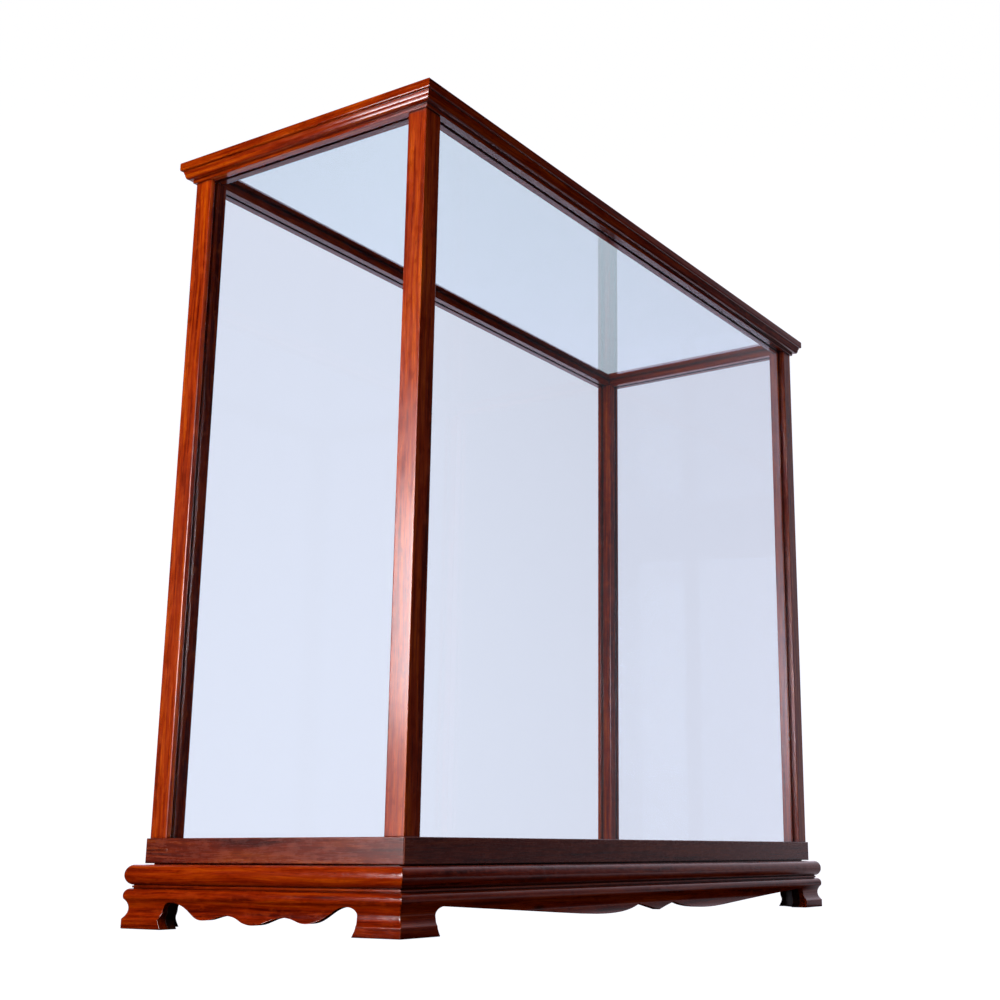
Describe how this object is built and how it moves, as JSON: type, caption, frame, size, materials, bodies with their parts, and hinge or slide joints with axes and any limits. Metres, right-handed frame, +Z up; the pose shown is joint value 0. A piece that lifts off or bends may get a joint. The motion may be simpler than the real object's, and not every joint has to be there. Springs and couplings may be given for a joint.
{
  "type": "tabletop display case",
  "caption": "Rectangular glazed wooden display cover with a moulded cornice, lifting off a low carved wooden base on moulded corner feet.",
  "frame": {"origin": "on the surface the feet stand on, under the middle of the case", "axes": "+X along the long side, +Y from the front to the back, +Z up"},
  "size_m": [1.007, 0.39, 0.9094],
  "materials": {
    "lacquered_wood": "glossy clear lacquer over red-brown wood",
    "dark_wood": "dark stained, half gloss",
    "plain_wood": "bare sanded wood",
    "clear_glass": "clear polished sheet",
    "screw_steel": "zinc plated"
  },
  "bodies": {
    "base": {"base_frame_front": "lacquered_wood", "base_frame_back": "lacquered_wood", "base_frame_left": "lacquered_wood", "base_frame_right": "lacquered_wood", "apron_front": "lacquered_wood", "apron_back": "lacquered_wood", "apron_left": "lacquered_wood", "apron_right": "lacquered_wood", "corner_block_front_left": "dark_wood", "corner_block_front_right": "dark_wood", "corner_block_back_left": "dark_wood", "corner_block_back_right": "dark_wood", "deck_panel": "lacquered_wood", "display_board": "lacquered_wood", "deck_batten_left": "plain_wood", "deck_batten_right": "plain_wood", "deck_screws": "screw_steel", "block_screws": "screw_steel"},
    "cover": {"cornice_front": "lacquered_wood", "cornice_back": "lacquered_wood", "cornice_left": "lacquered_wood", "cornice_right": "lacquered_wood", "top_bead_front": "lacquered_wood", "top_bead_back": "lacquered_wood", "top_bead_left": "lacquered_wood", "top_bead_right": "lacquered_wood", "post_front_left": "lacquered_wood", "post_front_right": "lacquered_wood", "post_back_left": "lacquered_wood", "post_back_right": "lacquered_wood", "bottom_rail_front": "lacquered_wood", "bottom_rail_back": "lacquered_wood", "bottom_rail_left": "lacquered_wood", "bottom_rail_right": "lacquered_wood", "glass_front": "clear_glass", "glass_back": "clear_glass", "glass_left": "clear_glass", "glass_right": "clear_glass", "glass_top": "clear_glass", "rail_mitre_keys": "dark_wood", "cornice_tongues": "plain_wood"}
  },
  "joints": [
    {"name": "cover_lift", "type": "slide", "parent": "base", "child": "cover", "axis": [0, 0, 1], "range_m": [0, 0.85]}
  ]
}
